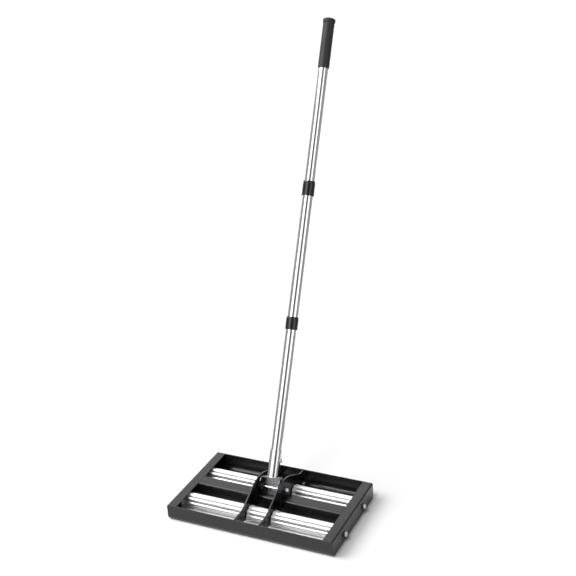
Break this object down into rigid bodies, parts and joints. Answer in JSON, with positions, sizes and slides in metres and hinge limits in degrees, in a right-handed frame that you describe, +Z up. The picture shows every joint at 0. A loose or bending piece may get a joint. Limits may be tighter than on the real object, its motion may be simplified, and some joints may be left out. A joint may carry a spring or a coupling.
{
  "type": "lawn leveling rake",
  "caption": "Flat black steel frame with rows of bar rollers and a long tube handle hinged on a yoke, for spreading and levelling soil on a lawn.",
  "frame": {"origin": "on the ground under the middle of the head, on the middle bar's bottom face", "axes": "+X along the head to the right, +Y to the side the handle leans to, +Z up"},
  "size_m": [0.4472, 0.6308, 1.0933],
  "materials": {
    "black_powder_coat": "gloss powder coat",
    "polished_rod_steel": "bright drawn rod",
    "polished_stainless_tube": "polished stainless",
    "satin_bracket_steel": "satin sheet",
    "zinc_plated_steel": "bright zinc plate",
    "natural_nylon": "moulded natural white",
    "sintered_bronze": "plain bearing",
    "black_plastic": "moulded gloss",
    "black_rubber": "moulded matte"
  },
  "bodies": {
    "frame": {"left_end_bar": "black_powder_coat", "right_end_bar": "black_powder_coat", "front_bar": "black_powder_coat", "mid_bar": "black_powder_coat", "rear_bar": "black_powder_coat", "left_pivot_plate": "black_powder_coat", "right_pivot_plate": "black_powder_coat", "front_axle": "zinc_plated_steel", "rear_axle": "zinc_plated_steel", "roller_spacers": "zinc_plated_steel", "axle_washers": "black_powder_coat", "axle_nuts": "zinc_plated_steel", "pivot_bolt": "zinc_plated_steel", "pivot_nut": "zinc_plated_steel", "pivot_washers": "black_powder_coat", "pivot_spacers": "zinc_plated_steel"},
    "front_left_roller": {"front_left_rods": "polished_rod_steel", "front_left_discs": "natural_nylon", "front_left_bushes": "sintered_bronze"},
    "front_centre_roller": {"front_centre_rods": "polished_rod_steel", "front_centre_discs": "natural_nylon", "front_centre_bushes": "sintered_bronze"},
    "front_right_roller": {"front_right_rods": "polished_rod_steel", "front_right_discs": "natural_nylon", "front_right_bushes": "sintered_bronze"},
    "rear_left_roller": {"rear_left_rods": "polished_rod_steel", "rear_left_discs": "natural_nylon", "rear_left_bushes": "sintered_bronze"},
    "rear_centre_roller": {"rear_centre_rods": "polished_rod_steel", "rear_centre_discs": "natural_nylon", "rear_centre_bushes": "sintered_bronze"},
    "rear_right_roller": {"rear_right_rods": "polished_rod_steel", "rear_right_discs": "natural_nylon", "rear_right_bushes": "sintered_bronze"},
    "handle": {"yoke_bracket": "satin_bracket_steel", "socket_tube": "polished_stainless_tube", "socket_screw": "zinc_plated_steel", "lower_tube": "polished_stainless_tube", "middle_tube": "polished_stainless_tube", "upper_tube": "polished_stainless_tube", "lower_collar": "black_plastic", "upper_collar": "black_plastic", "lower_insert": "zinc_plated_steel", "upper_insert": "zinc_plated_steel", "lower_stud": "zinc_plated_steel", "upper_stud": "zinc_plated_steel", "grip": "black_rubber"}
  },
  "joints": [
    {"name": "front_left_spin", "type": "hinge", "parent": "frame", "child": "front_left_roller", "pos_m": [0, -0.0585, 0.0195], "axis": [1, 0, 0], "continuous": true},
    {"name": "front_centre_spin", "type": "hinge", "parent": "frame", "child": "front_centre_roller", "pos_m": [0, -0.0585, 0.0195], "axis": [1, 0, 0], "continuous": true},
    {"name": "front_right_spin", "type": "hinge", "parent": "frame", "child": "front_right_roller", "pos_m": [0, -0.0585, 0.0195], "axis": [1, 0, 0], "continuous": true},
    {"name": "rear_left_spin", "type": "hinge", "parent": "frame", "child": "rear_left_roller", "pos_m": [0, 0.0585, 0.0195], "axis": [1, 0, 0], "continuous": true},
    {"name": "rear_centre_spin", "type": "hinge", "parent": "frame", "child": "rear_centre_roller", "pos_m": [0, 0.0585, 0.0195], "axis": [1, 0, 0], "continuous": true},
    {"name": "rear_right_spin", "type": "hinge", "parent": "frame", "child": "rear_right_roller", "pos_m": [0, 0.0585, 0.0195], "axis": [1, 0, 0], "continuous": true},
    {"name": "handle_swing", "type": "hinge", "parent": "frame", "child": "handle", "pos_m": [0, 0.009, 0.055], "axis": [1, 0, 0], "range_deg": [-45, 85]}
  ]
}
